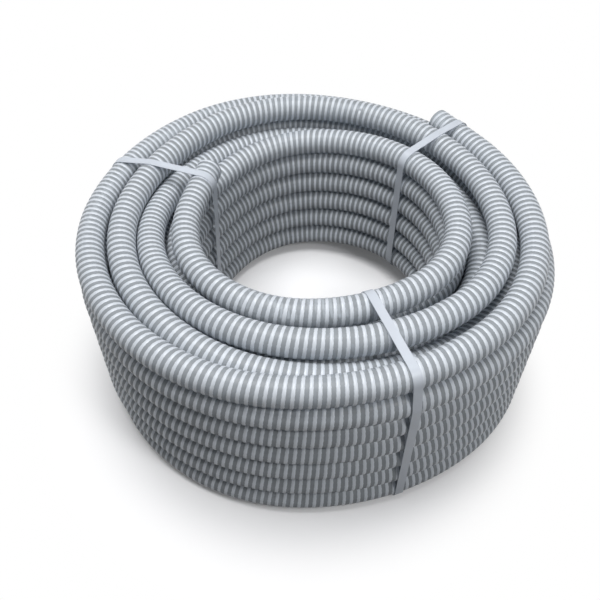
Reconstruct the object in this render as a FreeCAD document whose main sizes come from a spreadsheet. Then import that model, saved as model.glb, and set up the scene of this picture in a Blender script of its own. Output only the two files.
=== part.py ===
import FreeCAD, Part

import math
import os

from FreeCAD import Placement, Rotation, Vector

# A strapped coil of spiral-reinforced suction hose, free-standing on the undersides
# of its straps. +Z is up, the origin is at the middle of its base, and the camera
# side of the coil is -Y. One hose is wound in four columns, one inside the next:
# the innermost is wound downwards, the second upwards, the third downwards and the
# outermost upwards, so that both cut ends lie on top.

doc = FreeCAD.newDocument("suction_hose_coil")

# Driving dimensions, in millimetres, degrees, counts and shares
SIZES = {
    # the hose
    "BoreDiameter": 32.0,
    "WallThickness": 3.2,
    "RibPitch": 9.6,
    "RibWidth": 3.8,
    "RibDepth": 2.4,
    "RibProud": 0.5,
    "EndLength": 38.4,
    "StraightLength": 38.4,
    # the pile of turns
    "InnerTurnRadius": 194.0,
    "ColumnGap": 1.2,
    "RowGap": 0.85,
    "WallRows": 7,
    "MiddleRows": 6,
    # the coil bulges a little between its three straps
    "LobeHeight": 7.0,
    "LobeAngle": 99.0,
    # how far the top turns lean in and out again, in hose diameters, and where,
    # in degrees of winding after the start or after the column's last step up
    "InnerTopLean": 0.42,
    "InnerOutwardReach": 0.43,
    "InnerOutwardAt": 30.0,
    "InnerReturnAt": 373.0,
    "SecondTopLean": 0.37,
    "SecondLeanAt": 49.0,
    "SecondOutwardReach": 0.89,
    "SecondOutwardAt": 93.0,
    "TopShiftAt": 350.0,
    "ThirdTopLean": -0.16,
    "ThirdReturnAt": -139.0,
    "OuterTopLean": 0.22,
    "OuterLeanAt": -17.0,
    "OuterOutwardReach": 0.29,
    "OuterOutwardAt": 78.0,
    "OuterEndLean": 0.56,
    "OuterEndLeanAt": 169.0,
    "StepSpan": 156.0,
    "LeanSpan": 173.0,
    # where the hose starts and ends, and where each column steps by a row
    "StartAngle": 173.6,
    "FinishAngle": 32.0,
    "StationAngle": 40.0,
    "InnerDropAngle": 78.0,
    "SecondClimbAngle": 167.0,
    "ThirdDropAngle": 269.0,
    "OuterClimbAngle": 124.0,
    # where the hose moves out to the next column on the floor
    "FloorShiftInnerAngle": 275.0,
    "FloorShiftOuterAngle": 168.0,
    # the straps
    "StrapWidth": 12.0,
    "StrapThickness": 0.8,
    "StrapClearance": 0.3,
    "StrapLap": 28.0,
    "FrontStrapAngle": 289.0,
    "RearRightStrapAngle": 39.0,
    "RearLeftStrapAngle": 160.0,
}

sheet = doc.addObject("Spreadsheet::Sheet", "Sizes")
for row, (alias, value) in enumerate(SIZES.items(), start=1):
    sheet.set("A%d" % row, alias)
    sheet.set("B%d" % row, str(value))
    sheet.setAlias("B%d" % row, alias)
doc.recompute()


def size(alias):
    return float(sheet.get(alias))


bore_radius = size("BoreDiameter") / 2
hose_radius = bore_radius + size("WallThickness")
column_step = 2 * hose_radius + size("ColumnGap")
row_step = 2 * hose_radius + size("RowGap")
floor_level = size("StrapThickness") + size("StrapClearance") + hose_radius
top_level = floor_level + (size("WallRows") - 1) * row_step
hose_width = 2 * hose_radius

TURN = 360.0
HALF_TURN = 180.0
LOBES = 3


# The route of the hose's middle line


def smooth_step(angle, centre, span):
    """0 before a stretch of the route, 1 after it, and smooth in between."""
    share = min(1.0, max(0.0, (angle - centre) / span + 0.5))
    return share * share * (3 - 2 * share)


def smooth_rate(angle, centre, span):
    """How fast smooth_step grows, for each degree."""
    share = (angle - centre) / span + 0.5
    if not 0.0 < share < 1.0:
        return 0.0
    return 6 * share * (1 - share) / span


def next_time(angle, azimuth):
    """The first winding angle from there on that lies at this azimuth."""
    return azimuth + TURN * math.ceil((angle - azimuth) / TURN)


def steps_of_a_column(first, count, rise):
    """One step up or down in each turn of a column."""
    span = size("StepSpan")
    return [(first + TURN * k, 0.0, rise, span) for k in range(count)]


def lean_move(angle, hose_widths):
    """A move of a top turn, outward or inward."""
    return (angle, hose_widths * hose_width, 0.0, size("LeanSpan"))


def moves_of_the_hose():
    """Every smooth move of the route: winding angle, outward move, rise and span."""
    rises = int(size("WallRows")) - 1
    middle_rises = int(size("MiddleRows")) - 1
    middle_step = rises * row_step / middle_rises
    start = size("StartAngle")
    span = size("StepSpan")
    moves = []

    # the innermost column, downwards
    reach = size("InnerOutwardReach")
    moves.append(lean_move(start + size("InnerOutwardAt"), reach))
    back = size("InnerTopLean") - reach
    moves.append(lean_move(start + size("InnerReturnAt"), back))
    drop = next_time(start + HALF_TURN, size("InnerDropAngle"))
    moves += steps_of_a_column(drop, rises, -row_step)
    out = next_time(drop + TURN * (rises - 1), size("FloorShiftInnerAngle"))
    moves.append((out, column_step, 0.0, span))

    # the second column, upwards
    climb = next_time(out, size("SecondClimbAngle"))
    moves += steps_of_a_column(climb, middle_rises, middle_step)
    last = climb + TURN * (middle_rises - 1)
    moves.append(lean_move(last + size("SecondLeanAt"), -size("SecondTopLean")))
    reach = size("SecondOutwardReach")
    moves.append(lean_move(last + size("SecondOutwardAt"), reach))
    back = size("SecondTopLean") - reach - size("ThirdTopLean")
    moves.append(lean_move(last + size("TopShiftAt"), back + column_step / hose_width))

    # the third column, downwards
    drop = next_time(last + TURN, size("ThirdDropAngle"))
    moves += steps_of_a_column(drop, middle_rises, -middle_step)
    moves.append(lean_move(drop + size("ThirdReturnAt"), size("ThirdTopLean")))
    out = next_time(drop + TURN * (middle_rises - 1), size("FloorShiftOuterAngle"))
    moves.append((out, column_step, 0.0, span))

    # the outermost column, upwards, with one more climb begun at its end
    climb = next_time(out, size("OuterClimbAngle"))
    moves += steps_of_a_column(climb, rises + 1, row_step)
    last = climb + TURN * (rises - 1)
    moves.append(lean_move(last + size("OuterLeanAt"), -size("OuterTopLean")))
    moves.append(lean_move(last + size("OuterOutwardAt"), size("OuterOutwardReach")))
    moves.append(lean_move(last + size("OuterEndLeanAt"), -size("OuterEndLean")))
    finish = next_time(last, size("FinishAngle"))
    return moves, finish


moves, finish_angle = moves_of_the_hose()
start_angle = size("StartAngle")


def route_point(angle):
    """A point of the middle line and the direction of the hose there."""
    radius = size("InnerTurnRadius") - size("InnerTopLean") * hose_width
    level = top_level
    radius_rate = 0.0
    level_rate = 0.0
    for centre, outward, rise, span in moves:
        share = smooth_step(angle, centre, span)
        rate = smooth_rate(angle, centre, span)
        radius += outward * share
        level += rise * share
        radius_rate += outward * rate
        level_rate += rise * rate
    turned = math.radians(angle)
    along = math.radians(1.0)
    lobe = LOBES * (turned - math.radians(size("LobeAngle")))
    radius += size("LobeHeight") * math.cos(lobe)
    radius_rate -= LOBES * along * size("LobeHeight") * math.sin(lobe)
    outwards = Vector(math.cos(turned), math.sin(turned), 0)
    sideways = Vector(-math.sin(turned), math.cos(turned), 0)
    point = outwards * radius + Vector(0, 0, level)
    heading = outwards * radius_rate + sideways * (radius * along)
    heading += Vector(0, 0, level_rate)
    return point, heading.normalize()


def arc_between(start, corner, end):
    """The arc that leaves start towards corner and reaches end from it."""
    middle = (start + end) * 0.5
    half_chord = start.distanceToPoint(middle)
    height = corner.distanceToPoint(middle)
    if height < 1e-6 * half_chord:
        return Part.LineSegment(start, end).toShape()
    quarter_angle = math.atan2(height, half_chord) / 2
    rise = half_chord * math.tan(quarter_angle)
    crown = middle + (corner - middle) * (rise / height)
    return Part.Arc(start, crown, end).toShape()


def biarc(start, leaving, end, arriving):
    """Two arcs that join two points in the two directions given."""
    chord = end - start
    both = leaving + arriving
    bend = 2 * (1 - leaving.dot(arriving))
    lean_in = chord.dot(both)
    if bend < 1e-9:
        reach = chord.dot(chord) / (2 * lean_in)
    else:
        reach = (math.sqrt(lean_in**2 + bend * chord.dot(chord)) - lean_in) / bend
    first = start + leaving * reach
    second = end - arriving * reach
    joint = (first + second) * 0.5
    return [arc_between(start, first, joint), arc_between(joint, second, end)]


def coil_edges():
    """The middle line as arcs, two for each quarter turn, straight at both ends."""
    quarter = TURN / 4
    angles = [start_angle]
    angle = next_time(start_angle + quarter / 2, size("StationAngle"))
    angle -= quarter * math.floor((angle - start_angle - quarter / 2) / quarter)
    while angle < finish_angle - quarter / 2:
        angles.append(angle)
        angle += quarter
    angles.append(finish_angle)
    stations = [route_point(angle) for angle in angles]
    straight = size("StraightLength")
    first, leaving = stations[0]
    last, arriving = stations[-1]
    edges = [Part.LineSegment(first - leaving * straight, first).toShape()]
    for (start, out), (end, into) in zip(stations, stations[1:]):
        edges += biarc(start, out, end, into)
    edges.append(Part.LineSegment(last, last + arriving * straight).toShape())
    return edges


edges = coil_edges()
route = Part.Wire(edges)
turns = (finish_angle - start_angle) / TURN
print("turns %.2f, length of the wound hose %.2f m" % (turns, route.Length / 1000))


def points_along(step):
    """Points of the middle line with their distance from its start."""
    points = []
    travelled = 0.0
    for edge in edges:
        count = max(1, round(edge.Length / step))
        for point in edge.discretize(count + 1)[:-1]:
            points.append((travelled, point))
            travelled += edge.Length / count
    points.append((travelled, edges[-1].valueAt(edges[-1].LastParameter)))
    return points


def least_gap():
    """The least gap between the hose and itself, over all pairs of turns."""
    cell = 2.4 * hose_radius
    line = points_along(6.0)
    cells = {}
    for place, point in line:
        key = (round(point.x / cell), round(point.y / cell), round(point.z / cell))
        cells.setdefault(key, []).append((place, point))
    least = cell
    reach = (-1, 0, 1)
    near = [(i, j, k) for i in reach for j in reach for k in reach]
    for (x, y, z), here in cells.items():
        others = []
        for i, j, k in near:
            others += cells.get((x + i, y + j, z + k), [])
        for place, point in here:
            for other_place, other in others:
                if other_place - place > 6 * hose_radius:
                    least = min(least, point.distanceToPoint(other))
    return least - 2 * hose_radius


print("least gap between turns %.2f mm" % least_gap())


def middle(values):
    """Halfway between the least and the greatest value."""
    return (min(values) + max(values)) / 2


# The part's own frame: its base is the straps' underside, below the lowest turn
middle_line = [point for _, point in points_along(2.0)]
lowest_middle = min(point.z for point in middle_line)
strap_offset = hose_radius + size("StrapClearance")
to_frame = Vector(
    -middle([point.x for point in middle_line]),
    -middle([point.y for point in middle_line]),
    strap_offset + size("StrapThickness") - lowest_middle,
)

# Every piece of the part, by its name
pieces = {}


def named(kind, label):
    """A new document object with this label."""
    thing = doc.addObject(kind, label)
    thing.Label = label
    return thing


def coded_shape(label, shape):
    """A document object whose shape is worked out here."""
    thing = named("Part::Feature", label)
    thing.Shape = shape
    return thing


def finish_piece(label, piece, placement):
    """Place a finished piece and keep it under its name."""
    piece.Placement = placement
    pieces[label] = piece


# The wound hose: one unbroken tube with its bore


def swept_solid(radius):
    """A round bar of this radius along the route."""
    start = edges[0].valueAt(edges[0].FirstParameter)
    heading = edges[0].tangentAt(edges[0].FirstParameter)
    ring = Part.Wire(Part.Circle(start, heading, radius).toShape())
    sweep = Part.BRepOffsetAPI.MakePipeShell(route)
    sweep.add(ring)
    sweep.build()
    caps = [Part.Face(Part.Wire(sweep.firstShape().Edges))]
    caps.append(Part.Face(Part.Wire(sweep.lastShape().Edges)))
    skin = Part.makeShell(sweep.shape().Faces + caps)
    skin.sewShape()
    bar = Part.Solid(skin)
    if bar.Volume < 0:
        bar.reverse()
    return bar


coil = swept_solid(hose_radius).cut(swept_solid(bore_radius)).Solids[0]
section = math.pi * (hose_radius**2 - bore_radius**2)
print(
    "coil volume %.0f, section times length %.0f" % (coil.Volume, section * route.Length)
)
finish_piece("hose_coil", coded_shape("hose_coil", coil), Placement(to_frame, Rotation()))

# The cut ends of the hose, where its rigid spiral shows: a soft wall with a groove
# round it and the spiral that fills the groove and stands a little proud of it


def spiral_rib():
    """The rigid spiral, along +Z from the origin to the end's length."""
    pitch = size("RibPitch")
    inner = hose_radius - size("RibDepth")
    length = size("EndLength")
    whole = Part.makeHelix(pitch, length + 4 * pitch, inner)
    whole.translate(Vector(0, 0, -2 * pitch))
    half = size("RibWidth") / 2
    low = -2 * pitch
    corners = [
        Vector(inner, 0, low - half),
        Vector(hose_radius, 0, low - half * 0.7),
        Vector(hose_radius, 0, low + half * 0.7),
        Vector(inner, 0, low + half),
    ]
    profile = Part.makePolygon(corners + corners[:1])
    sweep = Part.Wire(whole).makePipeShell([profile], True, True)
    limits = Part.makeCylinder(2 * hose_radius, length)
    return sweep.common(limits)


def bound_cylinder(label, radius, length):
    """A cylinder along +Z whose sizes follow the sheet."""
    cylinder = named("Part::Cylinder", label)
    cylinder.setExpression("Radius", radius)
    cylinder.setExpression("Height", length)
    return cylinder


def cut_away(label, base, tool):
    """The base without the tool."""
    cut = named("Part::Cut", label)
    cut.Base = base
    cut.Tool = tool
    return cut


def make_end(side, point, heading):
    """A straight cut end: its soft wall and the spiral that shows on it."""
    placement = Placement(point + to_frame, Rotation(Vector(0, 0, 1), heading))
    length = "Sizes.EndLength"
    radius = "Sizes.BoreDiameter / 2 + Sizes.WallThickness - Sizes.RibProud"
    body = bound_cylinder("wall_blank_" + side, radius, length)
    bore = bound_cylinder("wall_bore_" + side, "Sizes.BoreDiameter / 2", length)
    tube = cut_away("wall_tube_" + side, body, bore)
    groove = coded_shape("wall_groove_" + side, rib)
    label = "hose_end_wall_" + side
    finish_piece(label, cut_away(label, tube, groove), placement)
    label = "hose_end_spiral_" + side
    finish_piece(label, coded_shape(label, rib), placement)
    halfway = point + to_frame + heading * (size("EndLength") / 2)
    place = "%.3f, %.3f, %.3f" % tuple(halfway)
    print("%s bore's middle at %s, axis %.6f, %.6f, %.6f" % (side, place, *heading))


rib = spiral_rib()
inner_cut = edges[0].valueAt(edges[0].FirstParameter)
inner_heading = edges[0].tangentAt(edges[0].FirstParameter) * -1
outer_cut = edges[-1].valueAt(edges[-1].LastParameter)
outer_heading = edges[-1].tangentAt(edges[-1].LastParameter)
make_end("inner", inner_cut, inner_heading)
make_end("outer", outer_cut, outer_heading)

# The straps: flat bands pulled tight round the pile of turns


def hull(points):
    """The corners of the smallest convex outline round some points."""

    def side(chain, point):
        (ax, ay), (bx, by) = chain[-2], chain[-1]
        return (bx - ax) * (point[1] - ay) - (by - ay) * (point[0] - ax)

    def chain_of(ordered):
        chain = []
        for point in ordered:
            while len(chain) > 1 and side(chain, point) <= 1e-9:
                chain.pop()
            chain.append(point)
        return chain[:-1]

    ordered = sorted(set(points))
    return chain_of(ordered) + chain_of(ordered[::-1])


def hose_middles(azimuth):
    """Where the hose crosses a strap's width, as distance out and height."""
    outwards = Vector(math.cos(azimuth), math.sin(azimuth), 0)
    sideways = Vector(-math.sin(azimuth), math.cos(azimuth), 0)
    reach = size("StrapWidth") / 2 + 1.0
    line = list(middle_line)
    for point, heading in ((inner_cut, inner_heading), (outer_cut, outer_heading)):
        steps = int(size("EndLength") / 2)
        line += [point + heading * (2.0 * k) for k in range(steps)]
    found = []
    for point in line:
        if abs(point.dot(sideways)) <= reach and point.dot(outwards) > 0:
            found.append((point.dot(outwards), point.z))
    # the underside of every strap lies flat on the same floor
    lowest_row = [x for x, z in found if z < lowest_middle + row_step / 3]
    found.append((min(lowest_row), lowest_middle))
    found.append((max(lowest_row), lowest_middle))
    return found


def band_wire(corners, offset):
    """The outline at a distance round a convex set of points, in the XZ plane."""
    made = []
    count = len(corners)
    normals = []
    for k in range(count):
        ax, az = corners[k]
        bx, bz = corners[(k + 1) % count]
        run = Vector(bx - ax, 0, bz - az).normalize()
        normals.append(Vector(run.z, 0, -run.x))
    for k in range(count):
        here = Vector(corners[k][0], 0, corners[k][1])
        there = Vector(corners[(k + 1) % count][0], 0, corners[(k + 1) % count][1])
        before = normals[k - 1]
        after = normals[k]
        crown = (before + after).normalize()
        arc = Part.Arc(here + before * offset, here + crown * offset, here + after * offset)
        made.append(arc.toShape())
        line = Part.LineSegment(here + after * offset, there + after * offset)
        made.append(line.toShape())
    return Part.Wire(made)


def thinned(corners, shortest):
    """The outline without corners that lie very close to the one before."""
    kept = []
    for corner in corners:
        if not kept or math.dist(corner, kept[-1]) > shortest:
            kept.append(corner)
    if math.dist(kept[0], kept[-1]) <= shortest:
        kept.pop()
    return kept


def lap_face(corners, offset, on_outer_side):
    """The second layer where a band's two ends are welded together."""
    best = 0.0
    for (ax, az), (bx, bz) in zip(corners, corners[1:] + corners[:1]):
        long_enough = math.hypot(bx - ax, bz - az) > best
        if long_enough and (bz > az) == on_outer_side:
            best = math.hypot(bx - ax, bz - az)
            start = Vector(ax, 0, az)
            end = Vector(bx, 0, bz)
    run = (end - start).normalize()
    normal = Vector(run.z, 0, -run.x)
    half = min(size("StrapLap"), 0.9 * best) / 2
    centre = (start + end) * 0.5 + normal * offset
    thick = normal * size("StrapThickness")
    near = centre - run * half
    far = centre + run * half
    return Part.Face(Part.makePolygon([near, near + thick, far + thick, far, near]))


def make_strap(label, alias, lap_on_outer_side):
    """A closed band round all the turns at one azimuth."""
    crossings = hose_middles(math.radians(size(alias)))
    corners = hull([(round(x, 2), round(z, 2)) for x, z in crossings])
    corners = thinned(corners, 0.6)
    outer_offset = strap_offset + size("StrapThickness")
    outline = Part.Face(band_wire(corners, outer_offset))
    outline = outline.fuse(lap_face(corners, outer_offset, lap_on_outer_side))
    outline = outline.removeSplitter().Faces[0]
    opening = Part.Face(band_wire(corners, strap_offset))
    band = named("Part::Extrusion", label)
    band.Base = coded_shape(label + "_outline", outline.cut(opening))
    band.DirMode = "Custom"
    band.Dir = Vector(0, 1, 0)
    band.Solid = True
    band.Symmetric = True
    band.setExpression("LengthFwd", "Sizes.StrapWidth")
    turned = Rotation(Vector(0, 0, 1), size(alias))
    finish_piece(label, band, Placement(to_frame, turned))
    lowest_row = [x for x, z in crossings if z < lowest_middle + 0.01]
    underside = turned.multVec(Vector(middle(lowest_row), 0, 0)) + to_frame
    print("%s rests at %.3f, %.3f" % (label, underside.x, underside.y))


make_strap("strap_front", "FrontStrapAngle", False)
make_strap("strap_rear_right", "RearRightStrapAngle", True)
make_strap("strap_rear_left", "RearLeftStrapAngle", True)

doc.recompute()

# Checks and export
for thing in doc.Objects:
    if "Invalid" in thing.State or "Error" in thing.State:
        raise RuntimeError("%s is in state %s" % (thing.Label, thing.State))
os.makedirs("parts", exist_ok=True)
for label, piece in pieces.items():
    shape = piece.Shape
    if shape.isNull() or not shape.isValid() or shape.Volume <= 0:
        raise RuntimeError("%s has no sound shape" % label)
    box = shape.BoundBox
    print(
        "%s: %d solid, volume %.1f, x %.1f..%.1f, y %.1f..%.1f, z %.2f..%.2f"
        % (
            label,
            len(shape.Solids),
            shape.Volume,
            box.XMin,
            box.XMax,
            box.YMin,
            box.YMax,
            box.ZMin,
            box.ZMax,
        )
    )
for label, piece in pieces.items():
    piece.Shape.exportStep("parts/%s.step" % label)
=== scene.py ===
import math

import bpy
import numpy as np
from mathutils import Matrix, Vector

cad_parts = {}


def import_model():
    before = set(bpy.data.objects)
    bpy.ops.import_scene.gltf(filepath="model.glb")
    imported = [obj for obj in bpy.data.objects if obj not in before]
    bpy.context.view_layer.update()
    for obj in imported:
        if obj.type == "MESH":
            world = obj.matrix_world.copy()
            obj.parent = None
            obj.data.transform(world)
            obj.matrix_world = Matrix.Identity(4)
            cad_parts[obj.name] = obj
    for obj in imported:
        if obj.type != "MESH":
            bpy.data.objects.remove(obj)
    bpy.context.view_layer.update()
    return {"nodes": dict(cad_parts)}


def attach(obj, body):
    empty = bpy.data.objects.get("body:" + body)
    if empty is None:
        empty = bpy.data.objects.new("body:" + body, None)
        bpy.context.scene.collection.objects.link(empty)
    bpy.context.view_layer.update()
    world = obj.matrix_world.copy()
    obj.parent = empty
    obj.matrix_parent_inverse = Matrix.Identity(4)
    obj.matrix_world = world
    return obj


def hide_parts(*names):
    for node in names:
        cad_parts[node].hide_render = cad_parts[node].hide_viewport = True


# A strapped coil of suction hose on a white floor. The hose's middle line is worked out
# in the same way as in the CAD part, in millimetres, and then brought into its frame.

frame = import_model()

MM = 0.001

# Sizes of the CAD part, in millimetres, degrees and shares
BORE_RADIUS = 16.0
HOSE_RADIUS = 19.2
RIB_PITCH = 9.6
END_LENGTH = 38.4
STRAIGHT_LENGTH = 38.4
INNER_TURN_RADIUS = 194.0
HOSE_WIDTH = 2 * HOSE_RADIUS
COLUMN_STEP = HOSE_WIDTH + 1.2
ROW_STEP = HOSE_WIDTH + 0.85
LOBE_HEIGHT = 7.0
LOBE_ANGLE = 99.0
WALL_ROWS = 7
MIDDLE_ROWS = 6
STRAP_OFFSET = HOSE_RADIUS + 0.3
STRAP_THICKNESS = 0.8
INNER_TOP_LEAN = 0.42
INNER_OUTWARD_REACH = 0.43
INNER_OUTWARD_AT = 30.0
INNER_RETURN_AT = 373.0
SECOND_TOP_LEAN = 0.37
SECOND_LEAN_AT = 49.0
SECOND_OUTWARD_REACH = 0.89
SECOND_OUTWARD_AT = 93.0
TOP_SHIFT_AT = 350.0
THIRD_TOP_LEAN = -0.16
THIRD_RETURN_AT = -139.0
OUTER_TOP_LEAN = 0.22
OUTER_LEAN_AT = -17.0
OUTER_OUTWARD_REACH = 0.29
OUTER_OUTWARD_AT = 78.0
OUTER_END_LEAN = 0.56
OUTER_END_LEAN_AT = 169.0
STEP_SPAN = 156.0
LEAN_SPAN = 173.0
START_ANGLE = 173.6
FINISH_ANGLE = 32.0
STATION_ANGLE = 40.0
INNER_DROP_ANGLE = 78.0
SECOND_CLIMB_ANGLE = 167.0
THIRD_DROP_ANGLE = 269.0
OUTER_CLIMB_ANGLE = 124.0
FLOOR_SHIFT_INNER_ANGLE = 275.0
FLOOR_SHIFT_OUTER_ANGLE = 168.0

TURN = 360.0
HALF_TURN = TURN / 2
LOBES = 3

# Sizes of what is seen only, in millimetres: the wall between the ribs, the rib down to
# where it sinks into the wall, the bore as deep as one can look in, and mesh steps
WALL_RADIUS = 18.75
RIB_WIDTH = 5.8
RIB_SIDE_DROP = 1.1
RIB_EDGE_DROP = 0.15
RIB_EDGE_SHARE = 0.66
LOOK_IN_DEPTH = 250.0
LOOK_IN_RINGS = 22
ROUTE_STEP = 14.0
RING_STEP = 12.5
WALL_SIDES = 28
STEPS_PER_TURN = 18
SPIRAL_PIECES = 12


# The route of the hose's middle line


def next_time(angle, azimuth):
    """The first winding angle from there on that lies at this azimuth."""
    return azimuth + TURN * math.ceil((angle - azimuth) / TURN)


def steps_of_a_column(first, count, rise):
    """One step up or down in each turn of a column."""
    return [(first + TURN * k, 0.0, rise, STEP_SPAN) for k in range(count)]


def lean_move(angle, hose_widths):
    """A move of a top turn, outward or inward."""
    return (angle, hose_widths * HOSE_WIDTH, 0.0, LEAN_SPAN)


def moves_of_the_hose():
    """Every smooth move of the route: winding angle, outward move, rise and span."""
    rises = WALL_ROWS - 1
    middle_rises = MIDDLE_ROWS - 1
    middle_step = rises * ROW_STEP / middle_rises
    moves = [lean_move(START_ANGLE + INNER_OUTWARD_AT, INNER_OUTWARD_REACH)]
    back = INNER_TOP_LEAN - INNER_OUTWARD_REACH
    moves.append(lean_move(START_ANGLE + INNER_RETURN_AT, back))
    drop = next_time(START_ANGLE + HALF_TURN, INNER_DROP_ANGLE)
    moves += steps_of_a_column(drop, rises, -ROW_STEP)
    out = next_time(drop + TURN * (rises - 1), FLOOR_SHIFT_INNER_ANGLE)
    moves.append((out, COLUMN_STEP, 0.0, STEP_SPAN))

    climb = next_time(out, SECOND_CLIMB_ANGLE)
    moves += steps_of_a_column(climb, middle_rises, middle_step)
    last = climb + TURN * (middle_rises - 1)
    moves.append(lean_move(last + SECOND_LEAN_AT, -SECOND_TOP_LEAN))
    moves.append(lean_move(last + SECOND_OUTWARD_AT, SECOND_OUTWARD_REACH))
    back = SECOND_TOP_LEAN - SECOND_OUTWARD_REACH - THIRD_TOP_LEAN
    moves.append(lean_move(last + TOP_SHIFT_AT, back + COLUMN_STEP / HOSE_WIDTH))

    drop = next_time(last + TURN, THIRD_DROP_ANGLE)
    moves += steps_of_a_column(drop, middle_rises, -middle_step)
    moves.append(lean_move(drop + THIRD_RETURN_AT, THIRD_TOP_LEAN))
    out = next_time(drop + TURN * (middle_rises - 1), FLOOR_SHIFT_OUTER_ANGLE)
    moves.append((out, COLUMN_STEP, 0.0, STEP_SPAN))

    climb = next_time(out, OUTER_CLIMB_ANGLE)
    moves += steps_of_a_column(climb, rises + 1, ROW_STEP)
    last = climb + TURN * (rises - 1)
    moves.append(lean_move(last + OUTER_LEAN_AT, -OUTER_TOP_LEAN))
    moves.append(lean_move(last + OUTER_OUTWARD_AT, OUTER_OUTWARD_REACH))
    moves.append(lean_move(last + OUTER_END_LEAN_AT, -OUTER_END_LEAN))
    return moves, next_time(last, FINISH_ANGLE)


moves, finish_angle = moves_of_the_hose()


def route_point(angle):
    """A point of the middle line and the direction of the hose there."""
    radius = INNER_TURN_RADIUS - INNER_TOP_LEAN * HOSE_WIDTH
    level = (WALL_ROWS - 1) * ROW_STEP
    radius_rate = 0.0
    level_rate = 0.0
    for centre, outward, rise, span in moves:
        part = min(1.0, max(0.0, (angle - centre) / span + 0.5))
        share = part * part * (3 - 2 * part)
        rate = 6 * part * (1 - part) / span
        radius += outward * share
        level += rise * share
        radius_rate += outward * rate
        level_rate += rise * rate
    turned = math.radians(angle)
    degree = math.radians(1.0)
    lobe = LOBES * (turned - math.radians(LOBE_ANGLE))
    radius += LOBE_HEIGHT * math.cos(lobe)
    radius_rate -= LOBES * degree * LOBE_HEIGHT * math.sin(lobe)
    outwards = Vector((math.cos(turned), math.sin(turned), 0))
    sideways = Vector((-math.sin(turned), math.cos(turned), 0))
    heading = outwards * radius_rate + sideways * (radius * degree)
    heading.z = level_rate
    point = outwards * radius
    point.z = level
    return point, heading.normalized()


# A bend in radians under which an arc is drawn as a line
NEARLY_STRAIGHT = 1e-4


def arc_points(start, corner, end, step):
    """Points from start up to end, which isn't among them, on an arc."""
    chord = end - start
    half = chord.length / 2
    height = (corner - (start + end) / 2).length
    bend = math.atan2(height, half)
    count = max(1, round(2 * half / step))
    if bend < NEARLY_STRAIGHT:
        return [start + chord * (k / count) for k in range(count)]
    along = chord.normalized()
    across = (corner - (start + end) / 2).normalized()
    radius = half / math.sin(bend)
    centre = (start + end) / 2 - across * (radius * math.cos(bend))
    angles = [bend * (2 * k / count - 1) for k in range(count)]
    return [
        centre + (along * math.sin(a) + across * math.cos(a)) * radius for a in angles
    ]


def biarc_points(start, leaving, end, arriving, step):
    """Points on the two arcs that join two points in the two directions given."""
    chord = end - start
    both = leaving + arriving
    bend = 2 * (1 - leaving.dot(arriving))
    lean_in = chord.dot(both)
    reach = (math.sqrt(lean_in**2 + bend * chord.dot(chord)) - lean_in) / bend
    first = start + leaving * reach
    second = end - arriving * reach
    joint = (first + second) / 2
    return arc_points(start, first, joint, step) + arc_points(joint, second, end, step)


def line_points(start, end, step):
    """Points from start up to end, which isn't among them, on a line."""
    count = max(1, round((end - start).length / step))
    return [start + (end - start) * (k / count) for k in range(count)]


def middle_line(step):
    """Points of the whole hose's middle line, both straight ends included."""
    quarter = TURN / 4
    angles = [START_ANGLE]
    angle = next_time(START_ANGLE + quarter / 2, STATION_ANGLE)
    angle -= quarter * math.floor((angle - START_ANGLE - quarter / 2) / quarter)
    while angle < finish_angle - quarter / 2:
        angles.append(angle)
        angle += quarter
    angles.append(finish_angle)
    stations = [route_point(angle) for angle in angles]
    straight = STRAIGHT_LENGTH + END_LENGTH
    first, leaving = stations[0]
    last, arriving = stations[-1]
    points = line_points(first - leaving * straight, first, step)
    for (start, out), (end, into) in zip(stations, stations[1:]):
        points += biarc_points(start, out, end, into, step)
    end = last + arriving * straight
    return np.array(points + line_points(last, end, step) + [end])


# Route points at each end that lie on the cut length, outside the wound hose
CUT_POINTS = 3


def into_frame(points):
    """The middle line in the CAD part's frame, in metres."""
    coil = points[CUT_POINTS:-CUT_POINTS]
    shift = -(coil.min(axis=0) + coil.max(axis=0)) / 2
    shift[2] = STRAP_OFFSET + STRAP_THICKNESS - coil[:, 2].min()
    return (points + shift) * MM


# The hose's line is a curve through the route, and every part of the hose follows it


def guide_line(points):
    """The points of a smooth curve along the route."""
    curve = bpy.data.curves.new("hose_route", "CURVE")
    curve.dimensions = "3D"
    spline = curve.splines.new("NURBS")
    spline.points.add(len(points) - 1)
    flat = np.hstack([points, np.ones((len(points), 1))])
    spline.points.foreach_set("co", flat.ravel())
    spline.order_u = 3
    spline.use_endpoint_u = True
    curve.resolution_u = 2
    holder = bpy.data.objects.new("hose_route", curve)
    bpy.context.scene.collection.objects.link(holder)
    bpy.context.view_layer.update()
    mesh = bpy.data.meshes.new_from_object(holder)
    line = np.empty(len(mesh.vertices) * 3)
    mesh.vertices.foreach_get("co", line)
    bpy.data.objects.remove(holder)
    bpy.data.curves.remove(curve)
    bpy.data.meshes.remove(mesh)
    return line.reshape(-1, 3)


line = guide_line(into_frame(middle_line(ROUTE_STEP)))
steps = np.linalg.norm(np.diff(line, axis=0), axis=1)
travelled = np.concatenate([[0.0], np.cumsum(steps)])
hose_length = travelled[-1]
# Half the length over which the hose's direction is taken, in metres
DIRECTION_REACH = 2 * MM


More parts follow.
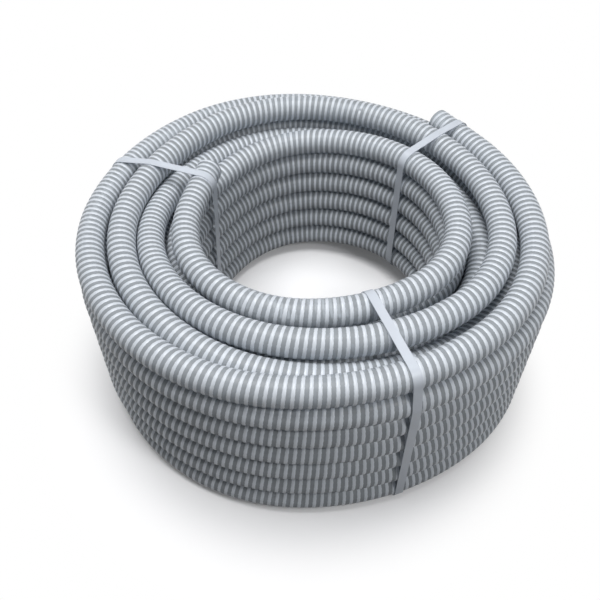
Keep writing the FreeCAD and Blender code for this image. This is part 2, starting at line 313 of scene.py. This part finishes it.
def frames_at(places):
    """Middle points and the three directions of the hose at distances along it."""
    places = np.asarray(places)
    held = np.clip(places, 0, hose_length)

    def at(distance):
        columns = [np.interp(distance, travelled, line[:, k]) for k in range(3)]
        return np.stack(columns, axis=1)

    middle = at(held)
    ahead = at(np.minimum(held + DIRECTION_REACH, hose_length))
    ahead -= at(np.maximum(held - DIRECTION_REACH, 0))
    ahead /= np.linalg.norm(ahead, axis=1)[:, None]
    side = np.cross(ahead, [0.0, 0.0, 1.0])
    side /= np.linalg.norm(side, axis=1)[:, None]
    above = np.cross(side, ahead)
    return middle, ahead, side, above


def link(obj, material):
    """Puts a piece in the scene, on the CAD body, with its material."""
    bpy.context.scene.collection.objects.link(obj)
    obj.data.materials.append(material)
    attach(obj, "root")
    return obj


def skin(name, rings):
    """A mesh over rings of points, each ring closed round, with closed ends."""
    count, sides, _ = rings.shape
    index = np.arange(count * sides).reshape(count, sides)
    a = index[:-1]
    b = index[1:]
    quads = np.stack([a, np.roll(a, -1, 1), np.roll(b, -1, 1), b], axis=-1)
    faces = quads.reshape(-1, 4).tolist()
    faces.append(index[0][::-1].tolist())
    faces.append(index[-1].tolist())
    mesh = bpy.data.meshes.new(name)
    mesh.from_pydata(rings.reshape(-1, 3).tolist(), [], faces)
    mesh.shade_smooth()
    return bpy.data.objects.new(name, mesh)


# Materials


def new_material(name):
    """An empty node material, its nodes and its links."""
    material = bpy.data.materials.new(name)
    material.use_nodes = True
    nodes = material.node_tree.nodes
    nodes.clear()
    return material, nodes, material.node_tree.links


def principled(nodes, color, roughness, **values):
    """A principled surface with constant values."""
    shader = nodes.new("ShaderNodeBsdfPrincipled")
    shader.inputs["Base Color"].default_value = (*color, 1.0)
    shader.inputs["Roughness"].default_value = roughness
    for key, value in values.items():
        shader.inputs[key.replace("_", " ")].default_value = value
    return shader


def noise_bump(nodes, links, shader, scale, strength, distance):
    """Fine unevenness on a surface."""
    where = nodes.new("ShaderNodeTexCoord")
    noise = nodes.new("ShaderNodeTexNoise")
    noise.inputs["Scale"].default_value = scale
    noise.inputs["Detail"].default_value = 3.0
    bump = nodes.new("ShaderNodeBump")
    bump.inputs["Strength"].default_value = strength
    bump.inputs["Distance"].default_value = distance
    links.new(where.outputs["Object"], noise.inputs["Vector"])
    links.new(noise.outputs["Fac"], bump.inputs["Height"])
    links.new(bump.outputs["Normal"], shader.inputs["Normal"])


def let_light_through(nodes, links, surface, tint, share):
    """The end of a material that lets this share of the light straight through."""
    through = nodes.new("ShaderNodeBsdfTransparent")
    through.inputs["Color"].default_value = (*tint, 1.0)
    mix = nodes.new("ShaderNodeMixShader")
    mix.inputs["Fac"].default_value = share
    out = nodes.new("ShaderNodeOutputMaterial")
    links.new(surface.outputs["BSDF"], mix.inputs[1])
    links.new(through.outputs["BSDF"], mix.inputs[2])
    links.new(mix.outputs["Shader"], out.inputs["Surface"])


def wall_material():
    """Smoky clear vinyl: half of the light goes through it."""
    material, nodes, links = new_material("clear_grey_vinyl")
    surface = principled(nodes, (0.47, 0.505, 0.535), 0.35, IOR=1.42)
    noise_bump(nodes, links, surface, scale=60.0, strength=0.25, distance=0.002)
    let_light_through(nodes, links, surface, tint=(0.74, 0.78, 0.82), share=0.5)
    return material


def rib_material():
    """White rigid vinyl under a thin clear layer."""
    material, nodes, links = new_material("white_rigid_vinyl")
    surface = principled(nodes, (0.55, 0.585, 0.635), 0.3, IOR=1.45)
    noise_bump(nodes, links, surface, scale=90.0, strength=0.2, distance=0.001)
    out = nodes.new("ShaderNodeOutputMaterial")
    links.new(surface.outputs["BSDF"], out.inputs["Surface"])
    return material


def strap_material():
    """A milky band with a fine grain."""
    material, nodes, links = new_material("milky_band")
    surface = principled(nodes, (0.64, 0.68, 0.74), 0.35, IOR=1.5)
    noise_bump(nodes, links, surface, scale=400.0, strength=0.3, distance=0.0005)
    let_light_through(nodes, links, surface, tint=(0.9, 0.93, 0.96), share=0.3)
    return material


wall_look = wall_material()
rib_look = rib_material()
strap_look = strap_material()

# The soft wall: its outside, both cut faces, and the bore as deep as one can look in
around = np.arange(WALL_SIDES) * (2 * math.pi / WALL_SIDES)


def tube_rings(places, radius):
    """Rings of the wall at distances along the hose."""
    middle, _, side, above = frames_at(places)
    turned = side[:, None] * np.cos(around)[None, :, None]
    turned = turned + above[:, None] * np.sin(around)[None, :, None]
    return middle[:, None] + turned * radius * MM


look_in = np.linspace(LOOK_IN_DEPTH * MM, 0.0, LOOK_IN_RINGS)
outside = np.linspace(0.0, hose_length, round(hose_length / (RING_STEP * MM)))
wall = skin(
    "hose_wall",
    np.concatenate(
        [
            tube_rings(look_in, BORE_RADIUS),
            tube_rings(outside, WALL_RADIUS),
            tube_rings(hose_length - look_in[::-1], BORE_RADIUS),
        ]
    ),
)
link(wall, wall_look)
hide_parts("hose_coil", "hose_end_wall_inner", "hose_end_wall_outer")

# The rigid spiral, right-handed, in a few lengths that meet end to end
side_at = RIB_WIDTH / 2
edge_at = side_at * RIB_EDGE_SHARE
side_radius = HOSE_RADIUS - RIB_SIDE_DROP
edge_radius = HOSE_RADIUS - RIB_EDGE_DROP
# Across the rib: the distance along the hose and out from its middle
RIB_PROFILE = [
    (-side_at, side_radius),
    (-edge_at, edge_radius),
    (0.0, HOSE_RADIUS),
    (edge_at, edge_radius),
    (side_at, side_radius),
]


def spiral_rings(first_turn, last_turn):
    """Sections of the rib from one turn of the spiral to another."""
    count = round((last_turn - first_turn) * STEPS_PER_TURN) + 1
    turns = np.linspace(first_turn, last_turn, count)
    corners = []
    for along, out in RIB_PROFILE:
        places = np.clip(turns * RIB_PITCH * MM + along * MM, 0, hose_length)
        middle, _, side, above = frames_at(places)
        angle = 2 * math.pi * turns[:, None]
        corners.append(middle + (side * np.cos(angle) + above * np.sin(angle)) * out * MM)
    return np.stack(corners, axis=1)


all_turns = hose_length / (RIB_PITCH * MM)
cuts = np.linspace(0.0, all_turns, SPIRAL_PIECES + 1)
for number, (first, last) in enumerate(zip(cuts, cuts[1:]), start=1):
    piece = skin("hose_spiral_%02d" % number, spiral_rings(first, last))
    link(piece, rib_look)
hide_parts("hose_end_spiral_inner")
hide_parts("hose_end_spiral_outer")

# The straps keep their CAD shape, with edges softened by this many millimetres
STRAP_EDGE = 0.15

for name in ("strap_front", "strap_rear_right", "strap_rear_left"):
    strap = frame["nodes"][name]
    strap.data.materials.clear()
    strap.data.materials.append(strap_look)
    soften = strap.modifiers.new("softened_edges", "BEVEL")
    soften.width = STRAP_EDGE * MM
    soften.segments = 2
    soften.limit_method = "ANGLE"

# The floor, the light and the camera

# Half the floor's side, and how far it lies below the coil, in metres
FLOOR_HALF = 6.0
FLOOR_DROP = 0.0002
# How much brighter than lit the floor looks to the camera, near the coil
FLOOR_GLOW = 0.08
# The floor fades to plain white between these distances in metres from a middle that is
# set towards the camera, so the shadow in front of the coil stays
FADE_START = 0.28
FADE_END = 0.41
FADE_CENTRE = (-0.03, -0.07, 0.0)


def seen_as_background(nodes, links):
    """One for the rays that show the background: from the camera, gloss and glass."""
    path = nodes.new("ShaderNodeLightPath")
    gloss = nodes.new("ShaderNodeMath")
    gloss.operation = "MAXIMUM"
    glass = nodes.new("ShaderNodeMath")
    glass.operation = "MAXIMUM"
    links.new(path.outputs["Is Camera Ray"], gloss.inputs[0])
    links.new(path.outputs["Is Glossy Ray"], gloss.inputs[1])
    links.new(gloss.outputs["Value"], glass.inputs[0])
    links.new(path.outputs["Is Transmission Ray"], glass.inputs[1])
    return glass.outputs["Value"]


def floor():
    """A floor that is white to the camera and gives little light back to the coil."""
    mesh = bpy.data.meshes.new("floor")
    half = FLOOR_HALF
    corners = [(-half, -half, 0), (half, -half, 0), (half, half, 0), (-half, half, 0)]
    mesh.from_pydata(corners, [], [(0, 1, 2, 3)])
    plane = bpy.data.objects.new("floor", mesh)
    plane.location.z = -FLOOR_DROP
    bpy.context.scene.collection.objects.link(plane)
    material, nodes, links = new_material("white_floor")
    surface = nodes.new("ShaderNodeBsdfDiffuse")
    surface.inputs["Color"].default_value = (0.9, 0.9, 0.91, 1.0)
    glow = nodes.new("ShaderNodeEmission")
    glow.inputs["Strength"].default_value = FLOOR_GLOW
    near = nodes.new("ShaderNodeAddShader")
    where = nodes.new("ShaderNodeTexCoord")
    away = nodes.new("ShaderNodeVectorMath")
    away.operation = "DISTANCE"
    away.inputs[1].default_value = FADE_CENTRE
    fade = nodes.new("ShaderNodeMapRange")
    fade.interpolation_type = "SMOOTHSTEP"
    fade.inputs["From Min"].default_value = FADE_START
    fade.inputs["From Max"].default_value = FADE_END
    white = nodes.new("ShaderNodeEmission")
    faded = nodes.new("ShaderNodeMixShader")
    duller = nodes.new("ShaderNodeBsdfDiffuse")
    duller.inputs["Color"].default_value = (0.16, 0.16, 0.16, 1.0)
    mix = nodes.new("ShaderNodeMixShader")
    out = nodes.new("ShaderNodeOutputMaterial")
    links.new(surface.outputs["BSDF"], near.inputs[0])
    links.new(glow.outputs["Emission"], near.inputs[1])
    links.new(where.outputs["Object"], away.inputs[0])
    links.new(away.outputs["Value"], fade.inputs["Value"])
    links.new(fade.outputs["Result"], faded.inputs["Fac"])
    links.new(near.outputs["Shader"], faded.inputs[1])
    links.new(white.outputs["Emission"], faded.inputs[2])
    links.new(seen_as_background(nodes, links), mix.inputs["Fac"])
    links.new(duller.outputs["BSDF"], mix.inputs[1])
    links.new(faded.outputs["Shader"], mix.inputs[2])
    links.new(mix.outputs["Shader"], out.inputs["Surface"])
    mesh.materials.append(material)


def area_light(name, location, target, size, power):
    """A square soft white light that faces a target."""
    lamp = bpy.data.lights.new(name, "AREA")
    lamp.shape = "SQUARE"
    lamp.size = size
    lamp.energy = power
    holder = bpy.data.objects.new(name, lamp)
    holder.location = location
    away = Vector(location) - Vector(target)
    holder.rotation_euler = away.to_track_quat("Z", "Y").to_euler()
    bpy.context.scene.collection.objects.link(holder)


def world(brightness):
    """White behind everything, and a softer white as light."""
    scene_world = bpy.data.worlds.new("white")
    bpy.context.scene.world = scene_world
    scene_world.use_nodes = True
    nodes = scene_world.node_tree.nodes
    links = scene_world.node_tree.links
    nodes.clear()
    light = nodes.new("ShaderNodeBackground")
    light.inputs["Color"].default_value = (0.97, 0.98, 1.0, 1.0)
    light.inputs["Strength"].default_value = brightness
    seen = nodes.new("ShaderNodeBackground")
    seen.inputs["Color"].default_value = (1.0, 1.0, 1.0, 1.0)
    seen.inputs["Strength"].default_value = 1.0
    mix = nodes.new("ShaderNodeMixShader")
    out = nodes.new("ShaderNodeOutputWorld")
    links.new(seen_as_background(nodes, links), mix.inputs["Fac"])
    links.new(light.outputs["Background"], mix.inputs[1])
    links.new(seen.outputs["Background"], mix.inputs[2])
    links.new(mix.outputs["Shader"], out.inputs["Surface"])


floor()
world(brightness=0.15)
area_light("overhead", (-0.3, 0.05, 2.2), (0, 0, 0.1), size=1.3, power=45.0)
area_light("side", (0.6, -0.85, 1.25), (0.1, 0.0, 0.1), size=0.3, power=6.0)

# Where the photographer stood, found from the coil's outline, in metres, and the lens
# and the sensor's width in millimetres
CAMERA_PLACE = (-0.0337, -0.752, 0.912)
CAMERA_TARGET = (-0.0237, -0.0436, 0.115)
CAMERA_LENS = 42.12
SENSOR_WIDTH = 36.0
# Clear layers that a ray may pass: two for each turn of hose that lies in its way
CLEAR_LAYERS = 24


def camera():
    """The photo's camera."""
    data = bpy.data.cameras.new("camera")
    data.sensor_width = SENSOR_WIDTH
    data.lens = CAMERA_LENS
    data.dof.use_dof = False
    holder = bpy.data.objects.new("camera", data)
    back = Vector(CAMERA_PLACE) - Vector(CAMERA_TARGET)
    holder.location = CAMERA_PLACE
    holder.rotation_euler = back.to_track_quat("Z", "Y").to_euler()
    bpy.context.scene.collection.objects.link(holder)
    bpy.context.scene.camera = holder


camera()
scene = bpy.context.scene
scene.view_settings.view_transform = "Standard"
scene.cycles.transparent_max_bounces = CLEAR_LAYERS
